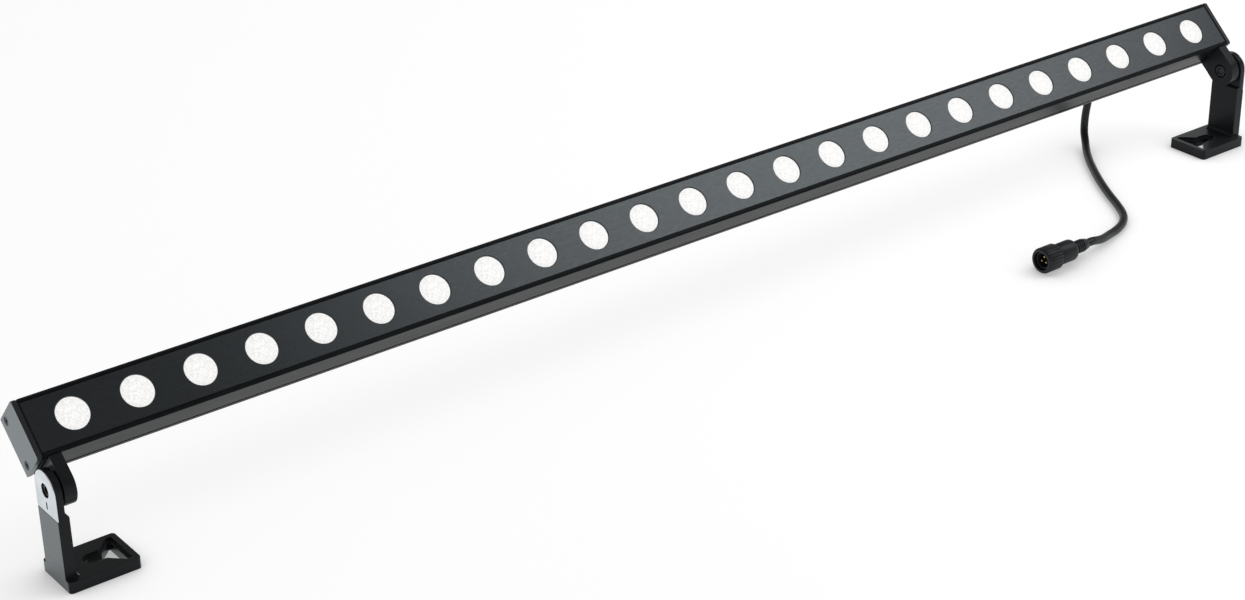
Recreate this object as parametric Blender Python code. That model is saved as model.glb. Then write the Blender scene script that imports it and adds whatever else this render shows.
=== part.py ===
"""A linear LED floodlight: a lensed aluminium bar that tilts between two footed brackets."""

from math import cos, pi, radians, sin, sqrt, tau

import bmesh
import bpy
from mathutils import Matrix, Vector

# Every size is in metres, unless its name says degrees or count.
# X runs along the bar, -Y is the side the light faces, Z is up from the surface under the feet.

# Gap kept between touching pieces
CLEARANCE = 0.0003

# Row of lenses
LENS_COUNT = 24
LENS_PITCH = 0.041
END_MARGIN = 0.0304
LENS_DIAMETER = 0.020
LENS_HEIGHT = 0.0103
LENS_RIM = 0.0017
LENS_DOME = 0.0004
LENS_THROAT_DIAMETER = 0.0092
LENS_CURVE_DIAMETER = 0.0158
LENS_CURVE_HEIGHT = 0.0036
LENS_CAVITY_DIAMETER = 0.0066
LENS_CAVITY_DEPTH = 0.0032
LENS_ROW_SHIFT = 0.0005

# Section of the bar
BAR_WIDTH = 0.0377
BAR_DEPTH = 0.0273
SIDE_WALL = 0.0018
BACK_WALL = 0.002
FIN_HEIGHT = 0.003
FIN_THICKNESS = 0.0014
FIN_SLOT = 0.002
FIN_SLOTS_PER_SIDE = 3
FACE_LIP = 0.0026
LIP_CHAMFER = 0.0012
REAR_CHAMFER = 0.0004
KEY_GROOVE_WIDTH = 0.0018
KEY_GROOVE_DEPTH = 0.0008
KEY_GROOVE_FROM_BACK = 0.0038
LEDGE_REACH = 0.002
LEDGE_THICKNESS = 0.001
SHELF_REACH = 0.0022
SHELF_THICKNESS = 0.0012

# Cover, seal and circuit boards
COVER_THICKNESS = 0.003
COVER_RECESS = 0.0004
SEAL_THICKNESS = 0.0005
BOARD_THICKNESS = 0.0016
LED_SIZE = 0.0035
LED_HEIGHT = 0.0009
DRIVER_LENGTH = 0.190
DRIVER_WIDTH = 0.021
DRIVER_BORDER = 0.0026
DRIVER_TO_GLAND = 0.060
DRIVER_BOARD_THICKNESS = 0.0012
DRIVER_PART_HEIGHT = 0.004

# Blocks of components on the driver board, as shares of its length
DRIVER_BLOCK_SHARES = ((0.06, 0.22), (0.30, 0.38), (0.46, 0.60), (0.68, 0.76), (0.82, 0.94))

# End caps and their screws
CAP_THICKNESS = 0.003
CAP_SPIGOT_DEPTH = 0.004
CAP_SPIGOT_INSET = 0.0065
CAP_SPIGOT_THICKNESS = 0.0045
CAP_SPIGOT_ROUND = 0.0011
GASKET_THICKNESS = 0.0006
GASKET_BAND = 0.0015
CAP_SCREW_SHANK = 0.0025
CAP_SCREW_HEAD = 0.0052
CAP_SCREW_LENGTH = 0.012
PORT_WALL = 0.0011
PORT_MOUTH_DEGREES = 60.0
PORT_MOUTH_TURN_DEGREES = 135.0

# Pivot, bracket and lug
REST_TILT_DEGREES = 47.5
PIVOT_HEIGHT = 0.0604
PIVOT_SETBACK = 0.0111
EAR_RADIUS = 0.0125
EAR_TO_BAR_GAP = 0.0027
EAR_THICKNESS = 0.004
LEG_THICKNESS = 0.0072
SHOULDER_DROP = 0.0124
SHOULDER_ROUND = 0.0018
PLATE_THICKNESS = 0.0006
PLATE_DROP = 0.015
INDEX_DROP = 0.0097
INDEX_LENGTH = 0.005
INDEX_WIDTH = 0.0018
INDEX_ROUND = 0.0008
FOOT_LENGTH = 0.0454
FOOT_WIDTH = 0.0342
FOOT_THICKNESS = 0.0073
FOOT_CORNER = 0.0022
FOOT_FILLET = 0.0025
POCKET_DEPTH = 0.0018
POCKET_BORDER = 0.0022
KEYHOLE_WIDTH = 0.0232
KEYHOLE_END = 0.0396
KEYHOLE_CORNER = 0.0008
SLOT_WIDTH = 0.0062
SLOT_START = 0.019
LUG_RADIUS = 0.0118
LUG_THICKNESS = 0.0077
LUG_KEY_WIDTH = 0.0012
LUG_KEY_HEIGHT = 0.0008
WASHER_THICKNESS = 0.001
WASHER_DIAMETER = 0.018
BOLT_DIAMETER = 0.005
BOLT_HEAD_DIAMETER = 0.0085
BOLT_HEAD_HEIGHT = 0.0022
BOLT_SOCKET = 0.004
BOLT_SOCKET_DEPTH = 0.0014
BOLT_SEAT_WEB = 0.0014
BOLT_TAIL_SUNK = 0.0004
BOLT_CHAMFER = 0.0003
NUT_FLATS = 0.008
NUT_HEIGHT = 0.004
LUG_SCREW_DIAMETER = 0.003
LUG_SCREW_HEAD = 0.0048
LUG_SCREW_HEAD_HEIGHT = 0.002
LUG_SCREW_LENGTH = 0.0075

# Cable gland on the back of the bar
GLAND_FROM_END = 0.0918
GLAND_FLATS = 0.014
GLAND_FLANGE = 0.0035
GLAND_THREAD_DIAMETER = 0.0112
GLAND_INNER_LENGTH = 0.0093
GLAND_SPIGOT_DIAMETER = 0.0104
GLAND_SPIGOT_LENGTH = 0.005
LOCK_NUT_FLATS = 0.0145
LOCK_NUT_HEIGHT = 0.0026
DOME_NUT_LENGTH = 0.009
DOME_NUT_FLATS_LENGTH = 0.0052
DOME_MOUTH_DIAMETER = 0.0092
DOME_CREST_DIAMETER = 0.0122
DOME_CREST_LENGTH = 0.0009
DOME_CHAMFER = 0.0003
RELIEF_LENGTH = 0.0187
RELIEF_SEATED = 0.0055
RELIEF_ROOT_DIAMETER = 0.008
RELIEF_TIP_DIAMETER = 0.0072
RELIEF_RIB_COUNT = 4
RELIEF_RIB_DEPTH = 0.0003
RELIEF_RIB_START_SHARE = 0.35
RELIEF_RIB_END_SHARE = 0.9

# Cable and its in-line connector
CABLE_DIAMETER = 0.006
CABLE_POINTS = 24
CONNECTOR_FROM_GLAND = 0.148
CONNECTOR_Y = -0.0920
CONNECTOR_LENGTH = 0.044
CONNECTOR_TAIL_LENGTH = 0.016
CONNECTOR_TAIL_DIAMETER = 0.0095
CONNECTOR_TAIL_TIP_DIAMETER = 0.0076
CONNECTOR_TAIL_TAPER = 0.004
CONNECTOR_TAIL_STRAIGHT = 0.0072
CONNECTOR_BODY_DIAMETER = 0.0155
CONNECTOR_NOSE_LENGTH = 0.013
CONNECTOR_NOSE_DIAMETER = 0.0128
CONNECTOR_BORE_DIAMETER = 0.0098
CONNECTOR_BORE_DEPTH = 0.009
RING_DIAMETER = 0.0186
RING_LENGTH = 0.0145
RING_GRIP_COUNT = 12
RING_GRIP_DEPTH = 0.0006
RING_CHAMFER = 0.0012
PIN_COUNT = 3
PIN_DIAMETER = 0.0016
PIN_CIRCLE_DIAMETER = 0.0048
PIN_LENGTH = 0.005
INSERT_THICKNESS = 0.0025

# How finely round shapes are divided
LENS_SIDES = 20
ROUND_SIDES = 24
SMALL_SIDES = 12
CORNER_STEPS = 3
FILLET_STEPS = 4
PORT_STEPS = 10
EAR_STEPS = 14
SLOT_STEPS = 6
CURVE_STEPS = 24
SMOOTH_DEGREES = 35

# Sizes that follow from the ones above
BAR_LENGTH = (LENS_COUNT - 1) * LENS_PITCH + 2 * END_MARGIN
HALF_BAR = BAR_LENGTH / 2
GLAND_X = HALF_BAR - GLAND_FROM_END
HOUSING_HALF = HALF_BAR - CAP_THICKNESS - GASKET_THICKNESS - 2 * CLEARANCE
LENS_ROW = BAR_WIDTH / 2 + LENS_ROW_SHIFT
COVER_BACK = COVER_RECESS + COVER_THICKNESS
LEDGE_FRONT = COVER_BACK + SEAL_THICKNESS + 2 * CLEARANCE
LEDGE_BACK = LEDGE_FRONT + LEDGE_THICKNESS
LENS_BACK = COVER_RECESS + LENS_HEIGHT
BOARD_FRONT = LENS_BACK + CLEARANCE
BOARD_BACK = BOARD_FRONT + BOARD_THICKNESS
SHELF_FRONT = BOARD_BACK + CLEARANCE
SHELF_BACK = SHELF_FRONT + SHELF_THICKNESS
INNER_BACK = BAR_DEPTH - FIN_HEIGHT - BACK_WALL
LUG_SCREW_DEPTH = (LEDGE_BACK + BOARD_FRONT) / 2
PORT_BORE = CAP_SCREW_SHANK / 2 + CLEARANCE
PORT_RADIUS = PORT_BORE + PORT_WALL
PORT_DEPTH = INNER_BACK - PORT_RADIUS
PORT_HEIGHT = SIDE_WALL + PORT_RADIUS
PIVOT_DROP = EAR_RADIUS + EAR_TO_BAR_GAP
LEG_OUTER = HALF_BAR
EAR_OUTER = PLATE_THICKNESS + CLEARANCE
EAR_INNER = EAR_OUTER + EAR_THICKNESS
WASHER_OUTER = EAR_INNER + CLEARANCE
LUG_OUTER = WASHER_OUTER + WASHER_THICKNESS + CLEARANCE
LUG_INNER = LUG_OUTER + LUG_THICKNESS
BOLT_SEAT = EAR_INNER - BOLT_SEAT_WEB
NUT_OUTER = LUG_INNER - NUT_HEIGHT


def clear_scene():
    for thing in list(bpy.data.objects):
        bpy.data.objects.remove(thing, do_unlink=True)


def paint(name, colour, roughness, metallic=0.0):
    """A Principled BSDF material; colour is sRGB from 0 to 255."""
    material = bpy.data.materials.new(name)
    material.use_nodes = True
    shader = material.node_tree.nodes["Principled BSDF"]
    linear = [(c / 255) ** 2.2 for c in colour]
    shader.inputs["Base Color"].default_value = (*linear, 1)
    shader.inputs["Roughness"].default_value = roughness
    shader.inputs["Metallic"].default_value = metallic
    material.diffuse_color = (*linear, 1)
    return material


def finish_mesh(shape, name, smooth=False):
    """Turns a bmesh into a mesh whose faces point out, smooth where it is round."""
    bmesh.ops.remove_doubles(shape, verts=shape.verts, dist=1e-7)
    bmesh.ops.recalc_face_normals(shape, faces=shape.faces)
    mesh = bpy.data.meshes.new(name)
    shape.to_mesh(mesh)
    shape.free()
    if smooth:
        mesh.shade_smooth()
        mesh.set_sharp_from_angle(angle=radians(SMOOTH_DEGREES))
    return mesh


def add(name, mesh, material, parent=None, location=(0, 0, 0), rotation=(0, 0, 0)):
    thing = bpy.data.objects.new(name, mesh)
    bpy.context.collection.objects.link(thing)
    thing.parent = parent
    thing.location = location
    thing.rotation_euler = rotation
    if not mesh.materials:
        mesh.materials.append(material)
    return thing


def add_empty(name, location, rotation=(0, 0, 0)):
    empty = bpy.data.objects.new(name, None)
    bpy.context.collection.objects.link(empty)
    empty.location = location
    empty.rotation_euler = rotation
    return empty


def combine(target, guide, operation):
    """Joins guide to target or takes it out, and keeps guide as a hidden wire shape."""
    guide.hide_render = True
    guide.display_type = "WIRE"
    boolean = target.modifiers.new(guide.name, "BOOLEAN")
    boolean.operation = operation
    boolean.solver = "EXACT"
    boolean.object = guide


def cut(target, cutter):
    combine(target, cutter, "DIFFERENCE")


def join(target, piece):
    combine(target, piece, "UNION")


def extruded(outline, start, end, axis, name, smooth=False):
    """A prism: an outline of (a, b) points pushed from start to end along an axis.

    Along X the outline is (y, z), along Y it is (x, z), and along Z it is (x, y).
    """
    place = {
        "X": lambda a, b: (start, a, b),
        "Y": lambda a, b: (a, start, b),
        "Z": lambda a, b: (a, b, start),
    }[axis]
    push = {"X": (end - start, 0, 0), "Y": (0, end - start, 0), "Z": (0, 0, end - start)}[axis]
    shape = bmesh.new()
    face = shape.faces.new([shape.verts.new(place(a, b)) for a, b in outline])
    grown = bmesh.ops.extrude_face_region(shape, geom=[face], use_keep_orig=True)
    moved = [v for v in grown["geom"] if isinstance(v, bmesh.types.BMVert)]
    bmesh.ops.translate(shape, verts=moved, vec=push)
    return finish_mesh(shape, name, smooth)


def flats_radius(flats, angle):
    """Distance from the centre of a hexagon, of the given width across flats, at an angle."""
    return flats / 2 / cos((angle + pi / 6) % (pi / 3) - pi / 6)


def turned(profile, sides, name):
    """A solid of revolution about Z, from (radius, height) points.

    A radius of 0 closes the shape in a pole, and a profile with none closes on itself as a ring.
    A radius given as a function of the angle makes flats or grips.
    """
    shape = bmesh.new()
    rings = []
    for radius, height in profile:
        if radius == 0:
            rings.append([shape.verts.new((0, 0, height))])
            continue
        ring = []
        for i in range(sides):
            angle = tau * i / sides
            reach = radius(angle) if callable(radius) else radius
            ring.append(shape.verts.new((reach * cos(angle), reach * sin(angle), height)))
        rings.append(ring)
    pairs = list(zip(rings, rings[1:]))
    if profile[0][0] != 0:
        pairs.append((rings[-1], rings[0]))
    for low, high in pairs:
        for i in range(sides):
            j = (i + 1) % sides
            corners = [low[i % len(low)], low[j % len(low)], high[j % len(high)], high[i % len(high)]]
            shape.faces.new(list(dict.fromkeys(corners)))
    return finish_mesh(shape, name, smooth=True)


def rod(radius, low, high):
    """Profile of a plain round bar between two heights."""
    return [(0, low), (radius, low), (radius, high), (0, high)]


def arc(centre, radius, start, end, steps):
    """Points of an arc from angle start to angle end, in degrees, both ends included."""
    angles = [radians(start + (end - start) * i / steps) for i in range(steps + 1)]
    return [(centre[0] + radius * cos(a), centre[1] + radius * sin(a)) for a in angles]


def rounded_rectangle(low, high, radius):
    (x0, y0), (x1, y1) = low, high
    corners = ((x1, y0, -90), (x1, y1, 0), (x0, y1, 90), (x0, y0, 180))
    points = []
    for x, y, start in corners:
        inner = (x - radius if x == x1 else x + radius, y - radius if y == y1 else y + radius)
        points += arc(inner, radius, start, start + 90, CORNER_STEPS)
    return points


def in_bar(depth, height):
    """(y, z) in the lamp's own frame, from the depth behind the face and the height on it."""
    return depth - PIVOT_SETBACK, PIVOT_DROP + height


def mirrored(points):
    """Points of the section's lower half, turned over to its upper half and read backwards."""
    return [(depth, BAR_WIDTH - height) for depth, height in reversed(points)]


def outer_half():
    """Outside of the section's lower half, from the lip's inner corner to the back."""
    groove = BAR_DEPTH - KEY_GROOVE_FROM_BACK - KEY_GROOVE_WIDTH
    points = [
        (0, FACE_LIP),
        (0, LIP_CHAMFER),
        (LIP_CHAMFER, 0),
        (groove, 0),
        (groove, KEY_GROOVE_DEPTH),
        (groove + KEY_GROOVE_WIDTH, KEY_GROOVE_DEPTH),
        (groove + KEY_GROOVE_WIDTH, 0),
        (BAR_DEPTH - REAR_CHAMFER, 0),
        (BAR_DEPTH, REAR_CHAMFER),
    ]
    height = SIDE_WALL
    for _ in range(FIN_SLOTS_PER_SIDE):
        points.append((BAR_DEPTH, height))
        points.append((BAR_DEPTH - FIN_HEIGHT, height))
        height += FIN_SLOT
        points.append((BAR_DEPTH - FIN_HEIGHT, height))
        points.append((BAR_DEPTH, height))
        height += FIN_THICKNESS
    return points


def inner_half():
    """Inside of the section's lower half, from the back wall to the lip's inner corner."""
    centre = (PORT_DEPTH, PORT_HEIGHT)
    first = PORT_MOUTH_TURN_DEGREES - PORT_MOUTH_DEGREES / 2
    last = PORT_MOUTH_TURN_DEGREES + PORT_MOUTH_DEGREES / 2
    points = arc(centre, PORT_RADIUS, 0, first, FILLET_STEPS)
    points += arc(centre, PORT_BORE, first, last - 360, PORT_STEPS)
    points += arc(centre, PORT_RADIUS, last, 270, FILLET_STEPS)
    points += [
        (SHELF_BACK, SIDE_WALL),
        (SHELF_BACK, SIDE_WALL + SHELF_REACH),
        (SHELF_FRONT, SIDE_WALL + SHELF_REACH),
        (SHELF_FRONT, SIDE_WALL),
        (LEDGE_BACK, SIDE_WALL),
        (LEDGE_BACK, FACE_LIP + LEDGE_REACH),
        (LEDGE_FRONT, FACE_LIP + LEDGE_REACH),
        (LEDGE_FRONT, FACE_LIP),
    ]
    return points


def end_outline():
    """Outline of an end cap: the section's outside, without its fins and grooves."""
    lower = [(0, LIP_CHAMFER), (LIP_CHAMFER, 0), (BAR_DEPTH - REAR_CHAMFER, 0), (BAR_DEPTH, REAR_CHAMFER)]
    return lower + mirrored(lower)


def pivot_y():
    """The pivot's Y, which centres the feet and the tilted bar about Y = 0."""
    tilt = radians(REST_TILT_DEGREES)
    reach = [in_bar(*point) for point in end_outline()]
    rear = max(y * cos(tilt) + z * sin(tilt) for y, z in reach)
    front = min(y * cos(tilt) + z * sin(tilt) for y, z in reach)
    return -(max(rear, FOOT_WIDTH / 2) + min(front, -FOOT_WIDTH / 2)) / 2


def lens_places():
    return [(i - (LENS_COUNT - 1) / 2) * LENS_PITCH for i in range(LENS_COUNT)]


def make_housing(lamp, finish):
    section = outer_half() + mirrored(outer_half()) + mirrored(inner_half()) + inner_half()
    outline = [in_bar(*point) for point in section]
    mesh = extruded(outline, -HOUSING_HALF, HOUSING_HALF, "X", "housing")
    housing = add("housing", mesh, finish["black_aluminium"], lamp)
    through = -BACK_WALL - FIN_HEIGHT - CLEARANCE
    bore = rod(GLAND_THREAD_DIAMETER / 2 + CLEARANCE, through, CLEARANCE)
    y, z = in_bar(BAR_DEPTH, BAR_WIDTH / 2)
    cut(housing, add("gland_hole", turned(bore, ROUND_SIDES, "gland_hole"), finish["black_aluminium"],
                     lamp, (GLAND_X, y, z), (-pi / 2, 0, 0)))
    bore = rod(LUG_SCREW_DIAMETER / 2 + CLEARANCE, -CLEARANCE, SIDE_WALL + CLEARANCE)
    y, z = in_bar(LUG_SCREW_DEPTH, 0)
    for side, name in ((-1, "left"), (1, "right")):
        hole = turned(bore, SMALL_SIDES, "lug_screw_hole")
        cut(housing, add(f"{name}_lug_screw_hole", hole, finish["black_aluminium"],
                         lamp, (side * lug_x(), y, z)))


def lug_x():
    """Distance from the bar's middle to the middle of a lug."""
    return LEG_OUTER - (LUG_OUTER + LUG_INNER) / 2


def make_cover(lamp, finish):
    low = in_bar(COVER_RECESS, FACE_LIP + CLEARANCE)
    high = in_bar(COVER_BACK, BAR_WIDTH - FACE_LIP - CLEARANCE)
    outline = [low, (high[0], low[1]), high, (low[0], high[1])]
    cover = add("front_cover", extruded(outline, -HOUSING_HALF, HOUSING_HALF, "X", "front_cover"),
                finish["cover_plate"], lamp)
    shape = bmesh.new()
    y, z = in_bar((COVER_RECESS + COVER_BACK) / 2, LENS_ROW)
    for x in lens_places():
        place = Matrix.Translation((x, y, z)) @ Matrix.Rotation(pi / 2, 4, "X")
        bmesh.ops.create_cone(
            shape, cap_ends=True, segments=LENS_SIDES, radius1=LENS_DIAMETER / 2 + CLEARANCE,
            radius2=LENS_DIAMETER / 2 + CLEARANCE, depth=COVER_THICKNESS + 4 * CLEARANCE, matrix=place)
    windows = add("windows", finish_mesh(shape, "windows"), finish["cover_plate"], lamp)
    cut(cover, windows)


def make_seal(lamp, finish):
    depth = COVER_BACK + CLEARANCE
    low, high = FACE_LIP + CLEARANCE, FACE_LIP + LEDGE_REACH
    outline = [in_bar(depth, low), in_bar(depth + SEAL_THICKNESS, low),
               in_bar(depth + SEAL_THICKNESS, BAR_WIDTH - low), in_bar(depth, BAR_WIDTH - low)]
    seal = add("cover_seal", extruded(outline, -HOUSING_HALF, HOUSING_HALF, "X", "cover_seal"),
               finish["rubber"], lamp)
    rail = high - low
    front, back = depth - CLEARANCE, depth + SEAL_THICKNESS + CLEARANCE
    window = [in_bar(front, high), in_bar(back, high),
              in_bar(back, BAR_WIDTH - high), in_bar(front, BAR_WIDTH - high)]
    opening = extruded(window, rail - HOUSING_HALF, HOUSING_HALF - rail, "X", "seal_window")
    cut(seal, add("seal_window", opening, finish["rubber"], lamp))


def make_lenses(lamp, finish):
    """One collimator for each LED: a flush disc in front and a curved throat behind it."""
    radius, throat = LENS_DIAMETER / 2, LENS_THROAT_DIAMETER / 2
    profile = [
        (0, LENS_CAVITY_DEPTH),
        (LENS_CAVITY_DIAMETER / 2, 0),
        (throat, 0),
        (LENS_CURVE_DIAMETER / 2, LENS_CURVE_HEIGHT),
        (radius, LENS_HEIGHT - LENS_RIM),
        (radius, LENS_HEIGHT - LENS_DOME),
        (0, LENS_HEIGHT),
    ]
    mesh = turned(profile, LENS_SIDES, "lens")
    y, z = in_bar(LENS_BACK, LENS_ROW)
    for number, x in enumerate(lens_places(), start=1):
        add(f"lens_{number:02d}", mesh, finish["lens"], lamp, (x, y, z), (pi / 2, 0, 0))


def raised_board(edges, heights, front, thickness, rise):
    """A board across the bar, with a block raised from every second cell of its middle row."""
    shape = bmesh.new()
    grid = []
    for x in edges:
        places = [in_bar(front, height) for height in heights]
        grid.append([shape.verts.new((x, y, z)) for y, z in places])
    blocks = []
    for i in range(len(edges) - 1):
        for j in range(len(heights) - 1):
            face = shape.faces.new((grid[i][j], grid[i + 1][j], grid[i + 1][j + 1], grid[i][j + 1]))
            if i % 2 == 1 and j == 1:
                blocks.append(face)
    grown = bmesh.ops.extrude_face_region(shape, geom=list(shape.faces), use_keep_orig=True)
    moved = [v for v in grown["geom"] if isinstance(v, bmesh.types.BMVert)]
    bmesh.ops.translate(shape, verts=moved, vec=(0, thickness, 0))
    back = [f for f in grown["geom"] if isinstance(f, bmesh.types.BMFace)]
    bmesh.ops.dissolve_faces(shape, faces=back)
    for face in bmesh.ops.extrude_discrete_faces(shape, faces=blocks)["faces"]:
        bmesh.ops.translate(shape, verts=face.verts, vec=(0, -rise, 0))
    return finish_mesh(shape, "board")


def make_led_boards(lamp, finish):
    """Two boards in line, each carrying half of the LEDs as blocks raised from its face."""
    low, high = SIDE_WALL + CLEARANCE, BAR_WIDTH - SIDE_WALL - CLEARANCE
    end = HALF_BAR - CAP_THICKNESS - CAP_SPIGOT_DEPTH - GASKET_THICKNESS
    heights = [low, LENS_ROW - LED_SIZE / 2, LENS_ROW + LED_SIZE / 2, high]
    for side, name in ((-1, "left"), (1, "right")):
        edges = [side * CLEARANCE]
        for x in sorted(x * side for x in lens_places() if x * side > 0):
            edges += [side * (x - LED_SIZE / 2), side * (x + LED_SIZE / 2)]
        edges.append(side * end)
        mesh = raised_board(edges, heights, BOARD_FRONT, BOARD_THICKNESS, LED_HEIGHT)
        add(f"led_board_{name}", mesh, finish["circuit_board"], lamp)


def make_driver(lamp, finish):
    """Driver board behind the LED boards, with blocks of components on it."""
    front = INNER_BACK - CLEARANCE - DRIVER_BOARD_THICKNESS
    low, high = BAR_WIDTH / 2 - DRIVER_WIDTH / 2, BAR_WIDTH / 2 + DRIVER_WIDTH / 2
    heights = [low, low + DRIVER_BORDER, high - DRIVER_BORDER, high]
    start = GLAND_X - DRIVER_TO_GLAND - DRIVER_LENGTH
    shares = [0.0] + [share for block in DRIVER_BLOCK_SHARES for share in block] + [1.0]
    edges = [start + share * DRIVER_LENGTH for share in shares]
    mesh = raised_board(edges, heights, front, DRIVER_BOARD_THICKNESS, DRIVER_PART_HEIGHT)
    add("driver_board", mesh, finish["circuit_board"], lamp)


def make_end(lamp, finish, side, name):
    """End cap with a locating spigot, its gasket, and two countersunk screws."""
    inner = HALF_BAR - CAP_THICKNESS
    outline = [in_bar(*point) for point in end_outline()]
    cap = add(f"end_cap_{name}", extruded(outline, side * inner, side * HALF_BAR, "X", "end_cap"),
              finish["cap"], lamp)
    spigot_low = in_bar(LEDGE_BACK + CLEARANCE, CAP_SPIGOT_INSET)
    spigot_high = in_bar(LEDGE_BACK + CLEARANCE + CAP_SPIGOT_THICKNESS, BAR_WIDTH - CAP_SPIGOT_INSET)
    spigot = rounded_rectangle(spigot_low, spigot_high, CAP_SPIGOT_ROUND)
    root, tip = side * (inner + CAP_THICKNESS / 2), side * (inner - CAP_SPIGOT_DEPTH)
    join(cap, add(f"end_cap_{name}_spigot", extruded(spigot, root, tip, "X", "spigot"), finish["cap"], lamp))

    far = (BAR_DEPTH - CLEARANCE, BAR_WIDTH - CLEARANCE)
    outside = [in_bar(*p) for p in rounded_rectangle((CLEARANCE, CLEARANCE), far, LIP_CHAMFER)]
    gasket_outer = side * (inner - CLEARANCE)
    gasket_inner = side * (inner - CLEARANCE - GASKET_THICKNESS)
    gasket = add(f"end_gasket_{name}", extruded(outside, gasket_outer, gasket_inner, "X", "end_gasket"),
                 finish["rubber"], lamp)
    band = GASKET_BAND + CLEARANCE
    far = (BAR_DEPTH - band, BAR_WIDTH - band)
    window = [in_bar(*p) for p in rounded_rectangle((band, band), far, LIP_CHAMFER)]
    past = side * CLEARANCE
    opening = extruded(window, gasket_outer + past, gasket_inner - past, "X", "gasket_window")
    cut(gasket, add(f"end_gasket_{name}_window", opening, finish["rubber"], lamp))

    shank, head = CAP_SCREW_SHANK / 2, CAP_SCREW_HEAD / 2
    cone = head - shank
    screw = turned([(0, -CAP_SCREW_LENGTH), (shank, -CAP_SCREW_LENGTH), (shank, -cone), (head, 0), (0, 0)],
                   SMALL_SIDES, "cap_screw")
    deep = -CAP_THICKNESS - CLEARANCE
    bore, mouth = shank + CLEARANCE, head + CLEARANCE
    sink = turned([(0, deep), (bore, deep), (bore, -cone), (mouth, 0), (mouth, CLEARANCE), (0, CLEARANCE)],
                  SMALL_SIDES, "cap_screw_sink")
    places = (("lower", PORT_HEIGHT), ("upper", BAR_WIDTH - PORT_HEIGHT))
    for where, height in places:
        y, z = in_bar(PORT_DEPTH, height)
        turn = (0, side * pi / 2, 0)
        place = (side * HALF_BAR, y, z)
        cut(cap, add(f"cap_sink_{name}_{where}", sink, finish["screw"], lamp, place, turn))
        sunk = (side * (HALF_BAR - CLEARANCE / 2), y, z)
        add(f"cap_screw_{name}_{where}", screw, finish["screw"], lamp, sunk, turn)


def make_lug(lamp, finish, side, name):
    """Knuckle under the bar's end, keyed into the groove, held by a screw from inside, with a sunk nut."""
    top = PIVOT_DROP - CLEARANCE
    front = -PIVOT_SETBACK
    outline = arc((0, 0), LUG_RADIUS, -180, 0, EAR_STEPS)
    outline += [(LUG_RADIUS, top), (front, top)]
    start, end = side * (LEG_OUTER - LUG_OUTER), side * (LEG_OUTER - LUG_INNER)
    key_middle = BAR_DEPTH - KEY_GROOVE_FROM_BACK - KEY_GROOVE_WIDTH / 2 - PIVOT_SETBACK
    rear = key_middle + LUG_KEY_WIDTH / 2
    key = [(rear, top), (rear, top + LUG_KEY_HEIGHT), (rear - LUG_KEY_WIDTH, top + LUG_KEY_HEIGHT),
           (rear - LUG_KEY_WIDTH, top)]
    outline[-2:-1] = [(LUG_RADIUS, top / 2)] + key
    mesh = extruded(outline, start, end, "X", "lug", smooth=True)
    lug = add(f"{name}_lug", mesh, finish["casting"], lamp)
    hole = BOLT_DIAMETER / 2 + CLEARANCE
    nut_pocket = NUT_FLATS / 2 / cos(pi / 6) + 2 * CLEARANCE
    pocket_floor = LUG_THICKNESS / 2 - NUT_HEIGHT - CLEARANCE
    past = LUG_THICKNESS / 2 + CLEARANCE
    profile = [(0, -past), (hole, -past), (hole, pocket_floor), (nut_pocket, pocket_floor),
               (nut_pocket, past), (0, past)]
    bore = turned(profile, ROUND_SIDES, "lug_bore")
    inward = (0, -side * pi / 2, 0)
    cut(lug, add(f"{name}_lug_bore", bore, finish["casting"], lamp, (side * lug_x(), 0, 0), inward))

    shank, head = LUG_SCREW_DIAMETER / 2, LUG_SCREW_HEAD / 2
    under = SIDE_WALL + CLEARANCE
    y, z = in_bar(LUG_SCREW_DEPTH, 0)
    tip = under - LUG_SCREW_LENGTH
    top = under + LUG_SCREW_HEAD_HEIGHT
    hole = turned(rod(shank + CLEARANCE, tip - 2 * CLEARANCE, CLEARANCE), SMALL_SIDES, "lug_screw_tap")
    cut(lug, add(f"{name}_lug_screw_tap", hole, finish["casting"], lamp, (side * lug_x(), y, z)))
    screw = turned([(0, tip), (shank, tip), (shank, under), (head, under), (head, top), (0, top)],
                   SMALL_SIDES, "lug_screw")
    add(f"{name}_lug_screw", screw, finish["screw"], lamp, (side * lug_x(), y, z))


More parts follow.
